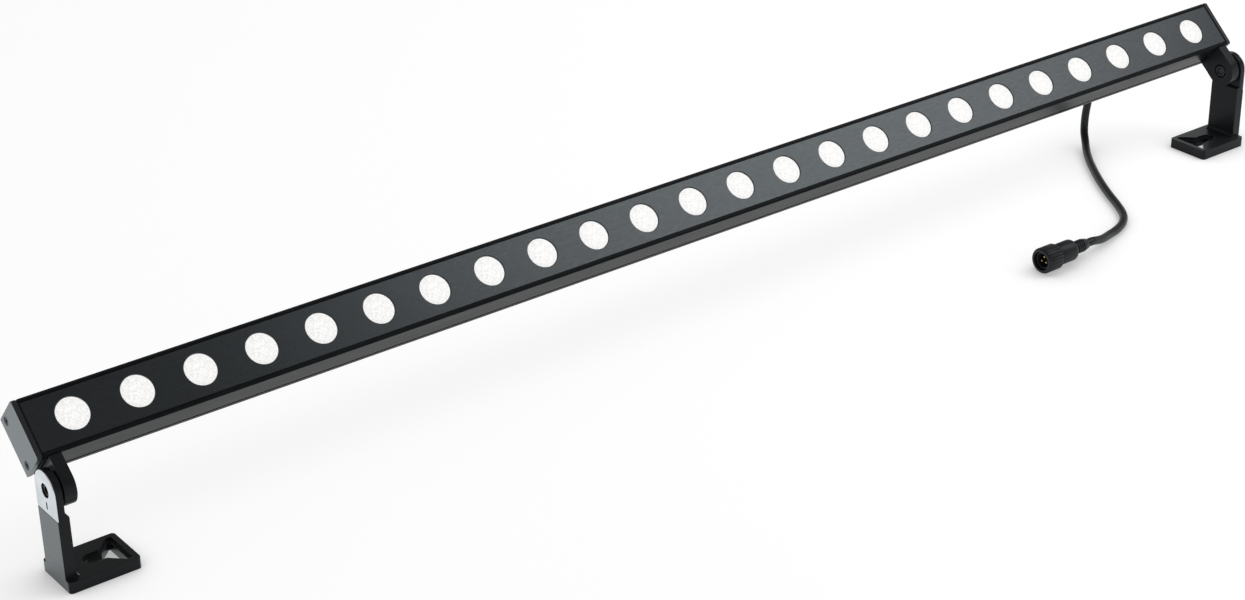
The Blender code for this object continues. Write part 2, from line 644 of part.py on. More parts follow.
def make_gland(lamp, finish):
    """Cable gland in the back wall: body, lock nut inside, dome nut and tapered strain relief."""
    y, z = in_bar(BAR_DEPTH, BAR_WIDTH / 2)
    place, turn = (GLAND_X, y, z), (-pi / 2, 0, 0)
    thread = GLAND_THREAD_DIAMETER / 2
    spigot = GLAND_SPIGOT_DIAMETER / 2
    seat = CLEARANCE
    flange = seat + GLAND_FLANGE

    def hexagon(flats):
        return lambda angle: flats_radius(flats, angle)

    flats = hexagon(GLAND_FLATS)
    body = [(0, -GLAND_INNER_LENGTH), (thread, -GLAND_INNER_LENGTH), (thread, seat), (flats, seat),
            (flats, flange), (spigot, flange), (spigot, flange + GLAND_SPIGOT_LENGTH),
            (0, flange + GLAND_SPIGOT_LENGTH)]
    add("gland_body", turned(body, ROUND_SIDES, "gland_body"), finish["plastic"], lamp, place, turn)

    wall = -FIN_HEIGHT - BACK_WALL - CLEARANCE
    bore = thread + CLEARANCE
    nut = [(bore, wall - LOCK_NUT_HEIGHT), (hexagon(LOCK_NUT_FLATS), wall - LOCK_NUT_HEIGHT),
           (hexagon(LOCK_NUT_FLATS), wall), (bore, wall)]
    add("gland_lock_nut", turned(nut, ROUND_SIDES, "gland_lock_nut"), finish["plastic"], lamp, place, turn)

    start = flange + CLEARANCE
    end = start + DOME_NUT_LENGTH
    shoulder = start + DOME_NUT_FLATS_LENGTH
    mouth = DOME_MOUTH_DIAMETER / 2
    root = RELIEF_ROOT_DIAMETER / 2
    step = flange + GLAND_SPIGOT_LENGTH + CLEARANCE
    dome = [(spigot + CLEARANCE, start), (flats, start), (flats, shoulder),
            (GLAND_FLATS / 2, shoulder + DOME_CHAMFER), (DOME_CREST_DIAMETER / 2, end - DOME_CREST_LENGTH),
            (mouth, end), (root + CLEARANCE, end), (root + CLEARANCE, step), (spigot + CLEARANCE, step)]
    add("gland_dome_nut", turned(dome, ROUND_SIDES, "gland_dome_nut"), finish["plastic"], lamp, place, turn)

    base = max(end - RELIEF_SEATED + CLEARANCE, step)
    tip = base + RELIEF_LENGTH
    tip_radius = RELIEF_TIP_DIAMETER / 2
    outside = end + 2 * CLEARANCE
    pitch = (tip - outside) / RELIEF_RIB_COUNT
    profile = [(0, base), (root, base), (root, outside)]
    for i in range(RELIEF_RIB_COUNT):
        low = outside + pitch * (i + RELIEF_RIB_START_SHARE)
        high = outside + pitch * (i + RELIEF_RIB_END_SHARE)
        radius = root + (tip_radius - root) * (i + 1 / 2) / RELIEF_RIB_COUNT
        profile += [(radius, low), (radius - RELIEF_RIB_DEPTH, high)]
    profile += [(tip_radius - RELIEF_RIB_DEPTH, tip), (0, tip)]
    add("strain_relief", turned(profile, SMALL_SIDES, "strain_relief"), finish["rubber"], lamp, place, turn)
    return tip + CLEARANCE


def cable_route(exit_point, exit_way, connector_point):
    """Points of the lead between the strain relief and the connector, by hand."""
    straight = CABLE_DIAMETER
    floor = CABLE_DIAMETER / 2
    start = [Vector(exit_point) + Vector(exit_way) * reach for reach in (0, straight / 2, straight)]

    # Distance from the gland towards the bar's middle, then Y and Z
    middle = [
        (0.0000, 0.0456, 0.0408),
        (0.0000, 0.0465, 0.0340),
        (0.0008, 0.0472, 0.0240),
        (0.0033, 0.0451, 0.0133),
        (0.0079, 0.0390, 0.0066),
        (0.0153, 0.0306, 0.0038),
        (0.0233, 0.0210, floor),
        (0.0325, 0.0092, floor),
        (0.0472, -0.0118, floor),
        (0.0605, -0.0333, floor),
        (0.0708, -0.0517, floor),
        (0.0803, -0.0660, floor),
        (0.0906, -0.0750, floor),
        (0.1025, -0.0807, 0.0033),
        (0.1157, -0.0848, 0.0043),
        (0.1295, -0.0897, 0.0066),
    ]
    end = [Vector(connector_point) + Vector((reach, 0, 0)) for reach in (straight, straight / 2, 0)]
    return start + [Vector((GLAND_X - inward, y, z)) for inward, y, z in middle] + end


def smooth_through(points, count):
    """count points at even spacing on a smooth curve through the given points."""
    padded = [2 * points[0] - points[1]] + points + [2 * points[-1] - points[-2]]
    fine = []
    for a, b, c, d in zip(padded, padded[1:], padded[2:], padded[3:]):
        for i in range(CURVE_STEPS):
            t = i / CURVE_STEPS
            fine.append(0.5 * (2 * b + (c - a) * t + (2 * a - 5 * b + 4 * c - d) * t * t
                               + (3 * b - 3 * c + d - a) * t ** 3))
    fine.append(points[-1])
    along = [0.0]
    for a, b in zip(fine, fine[1:]):
        along.append(along[-1] + (b - a).length)
    even = []
    k = 0
    for i in range(count):
        target = along[-1] * i / (count - 1)
        while k < len(along) - 2 and along[k + 1] < target:
            k += 1
        share = (target - along[k]) / (along[k + 1] - along[k])
        even.append(fine[k].lerp(fine[k + 1], min(max(share, 0), 1)))
    return even


def make_cable(lamp, finish, exit_point, exit_way, connector_point):
    """The free lead, a round tube along its route."""
    points = smooth_through(cable_route(exit_point, exit_way, connector_point), CABLE_POINTS)
    straight = CABLE_DIAMETER
    points = [Vector(exit_point), Vector(exit_point) + Vector(exit_way) * straight] + points[2:-2]
    points += [Vector(connector_point) + Vector((straight, 0, 0)), Vector(connector_point)]
    curve = bpy.data.curves.new("cable", "CURVE")
    curve.dimensions = "3D"
    curve.bevel_depth = CABLE_DIAMETER / 2
    curve.bevel_resolution = 2
    curve.use_fill_caps = True
    spline = curve.splines.new("POLY")
    spline.points.add(len(points) - 1)
    into_lamp = lamp.matrix_world.inverted()
    for spot, point in zip(spline.points, points):
        spot.co = (*(into_lamp @ point), 1)
    curve.materials.append(finish["cable"])
    cable = bpy.data.objects.new("cable", curve)
    bpy.context.collection.objects.link(cable)
    cable.parent = lamp


def make_connector(lamp, finish, start):
    """In-line connector on the cable's end, lying along -X: body, coupling nut and pin insert."""
    tail, body = CONNECTOR_TAIL_DIAMETER / 2, CONNECTOR_BODY_DIAMETER / 2
    nose, bore = CONNECTOR_NOSE_DIAMETER / 2, CONNECTOR_BORE_DIAMETER / 2
    nose_start = CONNECTOR_LENGTH - CONNECTOR_NOSE_LENGTH
    floor_of_bore = CONNECTOR_LENGTH - CONNECTOR_BORE_DEPTH
    tail_shoulder = CONNECTOR_TAIL_TAPER + CONNECTOR_TAIL_STRAIGHT
    profile = [(0, 0), (CONNECTOR_TAIL_TIP_DIAMETER / 2, 0), (tail, CONNECTOR_TAIL_TAPER),
               (tail, tail_shoulder), (body, CONNECTOR_TAIL_LENGTH), (body, nose_start),
               (nose, nose_start), (nose, CONNECTOR_LENGTH), (bore, CONNECTOR_LENGTH),
               (bore, floor_of_bore), (0, floor_of_bore)]
    world = Matrix.Translation(start) @ Matrix.Rotation(-pi / 2, 4, "Y")
    local = lamp.matrix_world.inverted() @ world
    place, turn = local.to_translation(), local.to_euler()
    body_mesh = turned(profile, ROUND_SIDES, "connector_body")
    add("connector_body", body_mesh, finish["plastic"], lamp, place, turn)

    def grip(angle):
        return RING_DIAMETER / 2 - RING_GRIP_DEPTH * (1 - cos(RING_GRIP_COUNT * angle)) / 2

    inner = nose + CLEARANCE
    first = nose_start + CLEARANCE
    last = first + RING_LENGTH
    rim = RING_DIAMETER / 2 - RING_CHAMFER
    ring = [(inner, first), (rim, first), (grip, first + RING_CHAMFER), (grip, last - RING_CHAMFER),
            (rim, last), (inner, last)]
    ring_mesh = turned(ring, 2 * RING_GRIP_COUNT, "connector_ring")
    add("connector_ring", ring_mesh, finish["plastic"], lamp, place, turn)

    disc = bore - CLEARANCE
    low = floor_of_bore + CLEARANCE
    top = low + INSERT_THICKNESS
    insert_mesh = turned(rod(disc, low, top), ROUND_SIDES, "connector_pins")
    insert = add("connector_pins", insert_mesh, finish["pins"], lamp, place, turn)
    for i in range(PIN_COUNT):
        angle = tau * i / PIN_COUNT
        reach = PIN_CIRCLE_DIAMETER / 2
        pin = turned(rod(PIN_DIAMETER / 2, top - INSERT_THICKNESS / 2, top + PIN_LENGTH), SMALL_SIDES, "pin")
        at = local @ Matrix.Translation((reach * cos(angle), reach * sin(angle), 0))
        pin = add(f"connector_pin_{i + 1}", pin, finish["pins"], lamp, at.to_translation(), at.to_euler())
        join(insert, pin)


def leg_outline():
    """(x, z) of the leg seen along Y, x running inward from its outer face."""
    shoulder = PIVOT_HEIGHT - SHOULDER_DROP
    plate_edge = PIVOT_HEIGHT - PLATE_DROP - CLEARANCE
    fillet_end = LEG_THICKNESS + FOOT_FILLET
    fillet = arc((fillet_end, FOOT_THICKNESS + FOOT_FILLET), FOOT_FILLET, -90, -180, FILLET_STEPS)
    round_centre = (LEG_THICKNESS - SHOULDER_ROUND, shoulder - SHOULDER_ROUND)
    points = [(0, 0), (fillet_end, 0)] + fillet
    points += arc(round_centre, SHOULDER_ROUND, 0, 90, FILLET_STEPS)
    points += [(EAR_INNER, shoulder), (EAR_INNER, PIVOT_HEIGHT), (EAR_OUTER, PIVOT_HEIGHT),
               (EAR_OUTER, plate_edge), (0, plate_edge)]
    return points


def keyhole_outline(border):
    """(x, y) of the foot's keyhole, grown by a border: a slot that widens at 45 degrees to a flat end."""
    narrow = SLOT_WIDTH / 2 + border
    wide = KEYHOLE_WIDTH / 2 + border
    end = KEYHOLE_END + border
    flank_end = KEYHOLE_END - KEYHOLE_CORNER - border * (sqrt(2) - 1)
    flank_start = flank_end - wide + narrow
    points = arc((SLOT_START + SLOT_WIDTH / 2, 0), narrow, 90, 270, SLOT_STEPS)
    points += [(flank_start, -narrow), (flank_end, -wide), (end, -wide)]
    points += [(end, wide), (flank_end, wide), (flank_start, narrow)]
    return points


def pivot_frame(place, turn):
    """The pivot's place on a bracket, with X running inward along the axis."""
    turned_foot = Matrix.Translation(place) @ Matrix.Rotation(turn[2], 4, "Z")
    return turned_foot @ Matrix.Translation((0, 0, PIVOT_HEIGHT))


def make_bracket(name, place, turn, finish):
    """Die-cast L bracket: a leg with a round ear, on a foot with a pocketed keyhole slot."""
    casting = finish["casting"]
    outline = rounded_rectangle((0, -FOOT_WIDTH / 2), (FOOT_LENGTH, FOOT_WIDTH / 2), FOOT_CORNER)
    foot = extruded(outline, 0, FOOT_THICKNESS, "Z", "foot", smooth=True)
    bracket = add(name, foot, casting, None, place, turn)

    leg = extruded(leg_outline(), -EAR_RADIUS, EAR_RADIUS, "Y", "leg")
    join(bracket, add(f"{name}_leg", leg, casting, None, place, turn))

    ear_low = PIVOT_HEIGHT - SHOULDER_DROP / 2
    outline = [(-EAR_RADIUS, ear_low), (EAR_RADIUS, ear_low)]
    outline += arc((0, PIVOT_HEIGHT), EAR_RADIUS, 0, 180, EAR_STEPS)
    ear = extruded(outline, EAR_OUTER, EAR_INNER, "X", "ear", smooth=True)
    join(bracket, add(f"{name}_ear", ear, casting, None, place, turn))

    floor, above = FOOT_THICKNESS - POCKET_DEPTH, FOOT_THICKNESS + CLEARANCE
    pocket = extruded(keyhole_outline(POCKET_BORDER), floor, above, "Z", "pocket", smooth=True)
    cut(bracket, add(f"{name}_pocket", pocket, casting, None, place, turn))
    keyhole = extruded(keyhole_outline(0), -CLEARANCE, FOOT_THICKNESS, "Z", "keyhole", smooth=True)
    cut(bracket, add(f"{name}_keyhole", keyhole, casting, None, place, turn))

    shank = BOLT_DIAMETER / 2 + CLEARANCE
    head = BOLT_HEAD_DIAMETER / 2 + CLEARANCE
    first, last = EAR_OUTER - CLEARANCE, EAR_INNER + CLEARANCE
    profile = [(0, first), (head, first), (head, BOLT_SEAT), (shank, BOLT_SEAT), (shank, last), (0, last)]
    bore = turned(profile, ROUND_SIDES, "ear_bore")
    axis = pivot_frame(place, turn) @ Matrix.Rotation(pi / 2, 4, "Y")
    cut(bracket, add(f"{name}_bore", bore, casting, None, axis.to_translation(), axis.to_euler()))


def make_pivot(name, place, turn, finish):
    """What sits on the pivot: scale plate, bolt, friction washer and nut."""
    frame = pivot_frame(place, turn)
    centre, facing = frame.to_translation(), frame.to_euler()
    along = (frame @ Matrix.Rotation(pi / 2, 4, "Y")).to_euler()

    outline = [(-EAR_RADIUS, -PLATE_DROP), (EAR_RADIUS, -PLATE_DROP)]
    outline += arc((0, 0), EAR_RADIUS, 0, 180, EAR_STEPS)
    mesh = extruded(outline, 0, PLATE_THICKNESS, "X", "scale_plate", smooth=True)
    plate = add(f"{name}_scale_plate", mesh, finish["plate"], None, centre, facing)
    head = BOLT_HEAD_DIAMETER / 2 + CLEARANCE
    hole = turned(rod(head, -CLEARANCE, PLATE_THICKNESS + CLEARANCE), ROUND_SIDES, "plate_hole")
    cut(plate, add(f"{name}_plate_hole", hole, finish["plate"], None, centre, along))
    mark = rounded_rectangle((-INDEX_WIDTH / 2, -INDEX_DROP - INDEX_LENGTH / 2),
                             (INDEX_WIDTH / 2, -INDEX_DROP + INDEX_LENGTH / 2), INDEX_ROUND)
    mark = extruded(mark, -CLEARANCE, PLATE_THICKNESS + CLEARANCE, "X", "index_slot")
    cut(plate, add(f"{name}_index_slot", mark, finish["plate"], None, centre, facing))

    shank, head = BOLT_DIAMETER / 2, BOLT_HEAD_DIAMETER / 2
    under = BOLT_SEAT - CLEARANCE
    tail = LUG_INNER - BOLT_TAIL_SUNK
    top = under - BOLT_HEAD_HEIGHT
    chamfer = BOLT_CHAMFER

    def socket(angle):
        return flats_radius(BOLT_SOCKET, angle)

    bolt = [(0, tail), (shank - chamfer, tail), (shank, tail - chamfer), (shank, under), (head, under),
            (head, top + chamfer), (head - chamfer, top), (socket, top), (socket, top + BOLT_SOCKET_DEPTH),
            (0, top + BOLT_SOCKET_DEPTH)]
    add(f"{name}_pivot_bolt", turned(bolt, ROUND_SIDES, "pivot_bolt"), finish["screw"], None, centre, along)

    inner, outer = BOLT_DIAMETER / 2 + CLEARANCE, WASHER_DIAMETER / 2
    washer = [(inner, WASHER_OUTER), (outer, WASHER_OUTER), (outer, WASHER_OUTER + WASHER_THICKNESS),
              (inner, WASHER_OUTER + WASHER_THICKNESS)]
    add(f"{name}_friction_washer", turned(washer, ROUND_SIDES, "friction_washer"), finish["rubber"],
        None, centre, along)

    def hexagon(angle):
        return flats_radius(NUT_FLATS, angle)

    far = NUT_OUTER + NUT_HEIGHT
    face = NUT_FLATS / 2
    nut = [(inner, NUT_OUTER), (hexagon, NUT_OUTER), (hexagon, far - chamfer), (face, far), (inner, far)]
    add(f"{name}_pivot_nut", turned(nut, ROUND_SIDES, "pivot_nut"), finish["screw"], None, centre, along)


def make_finishes():
    return {
        "black_aluminium": paint("black_anodised_aluminium", (42, 44, 47), 0.42, 0.55),
        "cover_plate": paint("dark_cover_plate", (34, 37, 40), 0.28),
        "lens": paint("white_lens", (245, 246, 248), 0.25),
        "circuit_board": paint("white_circuit_board", (225, 228, 226), 0.5),
        "rubber": paint("black_rubber", (22, 22, 23), 0.85),
        "cap": paint("black_end_cap", (40, 42, 44), 0.35, 0.3),
        "casting": paint("black_casting", (30, 31, 33), 0.55, 0.3),
        "plate": paint("brushed_scale_plate", (228, 229, 231), 0.35, 0.8),
        "screw": paint("blackened_steel", (48, 49, 51), 0.4, 0.8),
        "plastic": paint("black_plastic", (26, 27, 29), 0.5),
        "cable": paint("black_cable_sheath", (38, 39, 42), 0.6),
        "pins": paint("connector_insert", (60, 60, 62), 0.5, 0.3),
    }


clear_scene()
finishes = make_finishes()
pivot = (0, pivot_y(), PIVOT_HEIGHT)
lamp_pivot = add_empty("lamp_pivot", pivot, (-radians(REST_TILT_DEGREES), 0, 0))
bpy.context.view_layer.update()

make_housing(lamp_pivot, finishes)
make_cover(lamp_pivot, finishes)
make_seal(lamp_pivot, finishes)
make_lenses(lamp_pivot, finishes)
make_led_boards(lamp_pivot, finishes)
make_driver(lamp_pivot, finishes)
for end_side, end_name in ((-1, "left"), (1, "right")):
    make_end(lamp_pivot, finishes, end_side, end_name)
    make_lug(lamp_pivot, finishes, end_side, end_name)
    bracket_place = (end_side * LEG_OUTER, pivot_y(), 0)
    bracket_turn = (0, 0, 0 if end_side < 0 else pi)
    make_bracket(f"{end_name}_bracket", bracket_place, bracket_turn, finishes)
    make_pivot(end_name, bracket_place, bracket_turn, finishes)

relief_tip = make_gland(lamp_pivot, finishes)
gland_y, gland_z = in_bar(BAR_DEPTH + relief_tip, BAR_WIDTH / 2)
cable_exit = lamp_pivot.matrix_world @ Vector((GLAND_X, gland_y, gland_z))
cable_way = lamp_pivot.matrix_world.to_3x3() @ Vector((0, 1, 0))
connector_start = Vector((GLAND_X - CONNECTOR_FROM_GLAND, CONNECTOR_Y, RING_DIAMETER / 2 + CLEARANCE))
make_cable(lamp_pivot, finishes, cable_exit, cable_way, connector_start + Vector((CLEARANCE, 0, 0)))
make_connector(lamp_pivot, finishes, connector_start)
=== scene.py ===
from math import cos, pi, radians, sin, tau

import bmesh
import bpy
from mathutils import Matrix, Vector


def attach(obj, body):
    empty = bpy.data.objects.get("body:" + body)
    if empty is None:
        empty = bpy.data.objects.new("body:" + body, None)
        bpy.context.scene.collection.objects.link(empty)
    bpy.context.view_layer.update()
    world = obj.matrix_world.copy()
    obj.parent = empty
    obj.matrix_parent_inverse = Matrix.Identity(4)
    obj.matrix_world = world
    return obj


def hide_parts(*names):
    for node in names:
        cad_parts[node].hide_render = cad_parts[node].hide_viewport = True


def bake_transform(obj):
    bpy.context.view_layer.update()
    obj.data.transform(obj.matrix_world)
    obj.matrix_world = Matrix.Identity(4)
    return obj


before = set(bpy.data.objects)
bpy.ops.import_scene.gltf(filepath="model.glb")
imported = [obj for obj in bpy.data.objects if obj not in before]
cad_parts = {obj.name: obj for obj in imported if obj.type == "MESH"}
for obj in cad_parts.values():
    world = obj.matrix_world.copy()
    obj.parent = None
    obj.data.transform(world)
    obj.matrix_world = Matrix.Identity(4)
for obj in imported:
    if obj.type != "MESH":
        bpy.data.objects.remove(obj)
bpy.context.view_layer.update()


# Camera
# Stands a little over a metre in front of the lamp's left end, above it, and looks down along
# the bar. Its place, turn and lens were fitted to the photographed row of lenses.
camera_data = bpy.data.cameras.new("camera")
camera_data.sensor_width = 36.0
camera_data.lens = 73.36
camera_data.clip_start = 0.01
camera_data.clip_end = 100.0
camera = bpy.data.objects.new("camera", camera_data)
bpy.context.collection.objects.link(camera)
yaw, pitch, roll = radians(37.3771), radians(-26.7045), radians(-0.9187)
forward = Vector((sin(yaw) * cos(pitch), cos(yaw) * cos(pitch), sin(pitch)))
level = Vector((cos(yaw), -sin(yaw), 0))
upright = level.cross(forward)
right = level * cos(roll) + upright * sin(roll)
above = upright * cos(roll) - level * sin(roll)
turn = Matrix((right, above, -forward)).transposed()
camera_place = Vector((-0.98414, -1.18104, 0.78660))
camera.matrix_world = Matrix.Translation(camera_place) @ turn.to_4x4()
bpy.context.scene.camera = camera


# Cable
# A short round lead with a satin PVC sheath. It leaves the gland behind the bar, bends down
# to the floor and runs forward under the bar to its connector.
def node(tree, kind, **inputs):
    """Adds a shader node whose named inputs are numbers or the outputs of other nodes."""
    made = tree.nodes.new("ShaderNode" + kind)
    for key, value in inputs.items():
        socket = made.inputs[key.replace("_", " ")]
        if isinstance(value, bpy.types.NodeSocket):
            tree.links.new(value, socket)
        else:
            socket.default_value = value
    return made


def worked_out(tree, kind, operation, *values):
    """The result of a Math or VectorMath node on numbers or the outputs of other nodes."""
    made = tree.nodes.new("ShaderNode" + kind)
    made.operation = operation
    for socket, value in zip(made.inputs, values):
        if isinstance(value, bpy.types.NodeSocket):
            tree.links.new(value, socket)
        else:
            socket.default_value = value
    return made.outputs["Value"]


def blend_of(tree, factor, low, high, start=0.3, end=0.7):
    """A colour that goes from low to high as the factor goes from start to end."""
    ramp = tree.nodes.new("ShaderNodeValToRGB")
    ramp.color_ramp.elements[0].position = start
    ramp.color_ramp.elements[0].color = (*low, 1)
    ramp.color_ramp.elements[1].position = end
    ramp.color_ramp.elements[1].color = (*high, 1)
    tree.links.new(factor, ramp.inputs["Fac"])
    return ramp.outputs["Color"]


def span(tree, factor, low, high, start=0.3, end=0.7):
    """A number that goes from low to high as the factor goes from start to end."""
    made = node(tree, "MapRange", From_Min=start, From_Max=end, To_Min=low, To_Max=high)
    tree.links.new(factor, made.inputs["Value"])
    return made.outputs["Result"]


def grained(name, low, high, grain, roughness, bump, stretch=(1, 1, 1), metallic=0.0, worn=None,
            gloss_level=0.5, edge_gloss=None):
    """A material with cloudy colour, fine grain in its gloss and relief, and worn edges.

    Low and high are the ends of its colour and roughness is a span. Grain is in grains per
    metre, bump in metres, and stretch draws the grain out along an axis. Worn is the colour of
    rubbed edges. Gloss level is the strength of its reflection, and edge gloss is the one seen
    at a slant.
    """
    material = bpy.data.materials.new(name)
    material.use_nodes = True
    tree = material.node_tree
    shader = tree.nodes["Principled BSDF"]
    place = node(tree, "TexCoord").outputs["Object"]
    drawn = node(tree, "Mapping", Vector=place, Scale=stretch).outputs["Vector"]
    fine = node(tree, "TexNoise", Vector=drawn, Scale=grain, Detail=4.0, Roughness=0.6)
    fine = fine.outputs["Fac"]
    cloud = node(tree, "TexNoise", Vector=place, Scale=38.0, Detail=3.0).outputs["Fac"]
    colour = blend_of(tree, cloud, low, high)
    gloss = span(tree, fine, roughness[0], roughness[1])
    edge_radius = 0.00035
    rounded = node(tree, "Bevel", Radius=edge_radius).outputs["Normal"]
    if worn:
        flat_normal = node(tree, "NewGeometry").outputs["Normal"]
        flatness = worked_out(tree, "VectorMath", "DOT_PRODUCT", rounded, flat_normal)
        edge = span(tree, flatness, 1.0, 0.0, 0.75, 0.995)
        patch = node(tree, "TexNoise", Vector=place, Scale=320.0, Detail=5.0).outputs["Fac"]
        patch = span(tree, patch, 0.0, 1.0, 0.42, 0.62)
        rubbed = worked_out(tree, "Math", "MULTIPLY", edge, patch)
        mixed = node(tree, "MixRGB", Fac=rubbed, Color1=colour, Color2=(*worn, 1))
        colour = mixed.outputs["Color"]
    relief = node(tree, "Bump", Height=fine, Normal=rounded, Distance=bump, Strength=1.0)
    tree.links.new(colour, shader.inputs["Base Color"])
    tree.links.new(gloss, shader.inputs["Roughness"])
    tree.links.new(relief.outputs["Normal"], shader.inputs["Normal"])
    shader.inputs["Metallic"].default_value = metallic
    shader.inputs["Specular IOR Level"].default_value = gloss_level
    shader.inputs["Specular Tint"].default_value = (0.85, 0.95, 1.0, 1)
    if edge_gloss:
        facing = node(tree, "LayerWeight", Blend=0.5).outputs["Facing"]
        level = span(tree, facing, gloss_level, edge_gloss, 0.57, 0.66)
        tree.links.new(level, shader.inputs["Specular IOR Level"])
    return material


def smooth_route(points, count):
    """Points at even spacing on a smooth curve through the given ones."""
    padded = [2 * points[0] - points[1]] + points + [2 * points[-1] - points[-2]]
    steps = 24
    fine = []
    for a, b, c, d in zip(padded, padded[1:], padded[2:], padded[3:]):
        for i in range(steps):
            t = i / steps
            fine.append(0.5 * (2 * b + (c - a) * t + (2 * a - 5 * b + 4 * c - d) * t * t
                               + (3 * b - 3 * c + d - a) * t ** 3))
    fine.append(points[-1])
    along = [0.0]
    for a, b in zip(fine, fine[1:]):
        along.append(along[-1] + (b - a).length)
    even = []
    k = 0
    for i in range(count):
        target = along[-1] * i / (count - 1)
        while k < len(along) - 2 and along[k + 1] < target:
            k += 1
        share = (target - along[k]) / (along[k + 1] - along[k])
        even.append(fine[k].lerp(fine[k + 1], min(max(share, 0), 1)))
    return even


def tube(name, points, radius, sides=20):
    """A round tube along the points, closed at both ends."""
    shape = bmesh.new()
    way = (points[1] - points[0]).normalized()
    across = way.orthogonal().normalized()
    rings = []
    for i, point in enumerate(points):
        new_way = (points[min(i + 1, len(points) - 1)] - points[max(i - 1, 0)]).normalized()
        across = way.rotation_difference(new_way) @ across
        way = new_way
        other = way.cross(across)
        ring = []
        for k in range(sides):
            angle = tau * k / sides
            out = across * cos(angle) + other * sin(angle)
            ring.append(shape.verts.new(point + out * radius))
        rings.append(ring)
    for near, far in zip(rings, rings[1:]):
        for k in range(sides):
            m = (k + 1) % sides
            shape.faces.new((near[k], near[m], far[m], far[k]))
    shape.faces.new(rings[0])
    shape.faces.new(rings[-1])
    bmesh.ops.recalc_face_normals(shape, faces=shape.faces)
    mesh = bpy.data.meshes.new(name)
    shape.to_mesh(mesh)
    shape.free()
    mesh.shade_smooth()
    mesh.set_sharp_from_angle(angle=0.8)
    return mesh


def link(name, data, body, material=None):
    """Puts a new piece in the scene, riding on one of the two bodies."""
    piece = bpy.data.objects.new(name, data)
    bpy.context.collection.objects.link(piece)
    if material:
        data.materials.append(material)
    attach(piece, body)
    return piece


cable_diameter = 0.006
cable_exit = Vector((0.4101, 0.03875, 0.05074))
exit_way = Vector((0, 0.67559, -0.73728))
connector_start = Vector((0.2621, -0.0920, 0.0096))
connector_gap = 0.0003
cable_end = connector_start + Vector((connector_gap, 0, 0))
cable_route = [cable_exit, cable_exit + exit_way * 0.003, cable_exit + exit_way * 0.006]
cable_route += [Vector(point) for point in (
    (0.4101, 0.0456, 0.0408), (0.4101, 0.0465, 0.0340), (0.4093, 0.0472, 0.0240),
    (0.4068, 0.0451, 0.0133), (0.4022, 0.0390, 0.0066), (0.3948, 0.0306, 0.0038),
    (0.3868, 0.0210, 0.0030), (0.3776, 0.0092, 0.0030), (0.3629, -0.0118, 0.0030),
    (0.3496, -0.0333, 0.0030), (0.3393, -0.0517, 0.0030), (0.3298, -0.0660, 0.0030),
    (0.3195, -0.0750, 0.0030), (0.3076, -0.0807, 0.0033), (0.2944, -0.0848, 0.0043),
    (0.2806, -0.0897, 0.0066))]
cable_route += [cable_end + Vector((0.006, 0, 0)), cable_end + Vector((0.003, 0, 0)), cable_end]
cable_points = smooth_route(cable_route, 140)
sheath = grained("cable_pvc", (0.009, 0.009, 0.010), (0.014, 0.014, 0.015), 2600.0,
                 (0.34, 0.46), 0.00003, gloss_level=0.3)
cable_mesh = tube("cable_sheath", cable_points, cable_diameter / 2)
cable_mesh.materials.append(sheath)
cable = bpy.data.objects.new("cable_sheath", cable_mesh)
bpy.context.collection.objects.link(cable)
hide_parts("cable")
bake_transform(cable)


# In-line connector
# The cable's plug: a moulded black body with a ribbed tail, a ridged coupling nut that turns
# on it, an O-ring, and three brass pins in an insert. It lies on the floor with the cable.
# All its pieces are turned profiles of (radius, height), drawn along the plug from its tail.
def turned(name, profile, sides=64, smooth=0.6):
    """A mesh turned about Z from (radius, height) points; a radius may depend on the angle."""
    shape = bmesh.new()
    rings = []
    for radius, height in profile:
        if radius == 0:
            rings.append([shape.verts.new((0, 0, height))])
            continue
        ring = []
        for i in range(sides):
            angle = tau * i / sides
            reach = radius(angle) if callable(radius) else radius
            ring.append(shape.verts.new((reach * cos(angle), reach * sin(angle), height)))
        rings.append(ring)
    pairs = list(zip(rings, rings[1:]))
    if profile[0][0] != 0:
        pairs.append((rings[-1], rings[0]))
    for low, high in pairs:
        for i in range(sides):
            j = (i + 1) % sides
            corners = [low[i % len(low)], low[j % len(low)]]
            corners += [high[j % len(high)], high[i % len(high)]]
            shape.faces.new(list(dict.fromkeys(corners)))
    bmesh.ops.recalc_face_normals(shape, faces=shape.faces)
    mesh = bpy.data.meshes.new(name)
    shape.to_mesh(mesh)
    shape.free()
    mesh.shade_smooth()
    mesh.set_sharp_from_angle(angle=smooth)
    return mesh


plastic = grained("moulded_black_plastic", (0.010, 0.010, 0.011), (0.015, 0.016, 0.017), 1500.0,
                  (0.38, 0.52), 0.00004, worn=(0.05, 0.05, 0.052), gloss_level=0.3)
rubber = grained("black_rubber", (0.007, 0.007, 0.007), (0.011, 0.011, 0.011), 2200.0,
                 (0.62, 0.82), 0.00005, gloss_level=0.25)
along_connector = Matrix.Translation(connector_start) @ Matrix.Rotation(-pi / 2, 4, "Y")
tail_radius = 0.00475
tail_groove_radius = 0.0042
tail_rib_pitch = 0.0019
body_profile = [(0, 0), (0.0034, 0), (0.0038, 0.0004), (0.0046, 0.004)]
for i in range(4):
    start = tail_rib_pitch * i
    body_profile += [(tail_radius, 0.0046 + start), (tail_radius, 0.0056 + start),
                     (tail_groove_radius, 0.0058 + start), (tail_groove_radius, 0.0064 + start)]
body_profile += [(0.0048, 0.0126), (0.0072, 0.0154), (0.00765, 0.0164), (0.00775, 0.0175),
                 (0.00775, 0.0305), (0.0075, 0.031), (0.0064, 0.031), (0.0064, 0.0437),
                 (0.0061, 0.044), (0.0051, 0.044), (0.0049, 0.0437), (0.0049, 0.035), (0, 0.035)]
body_mesh = turned("plug_body", body_profile)
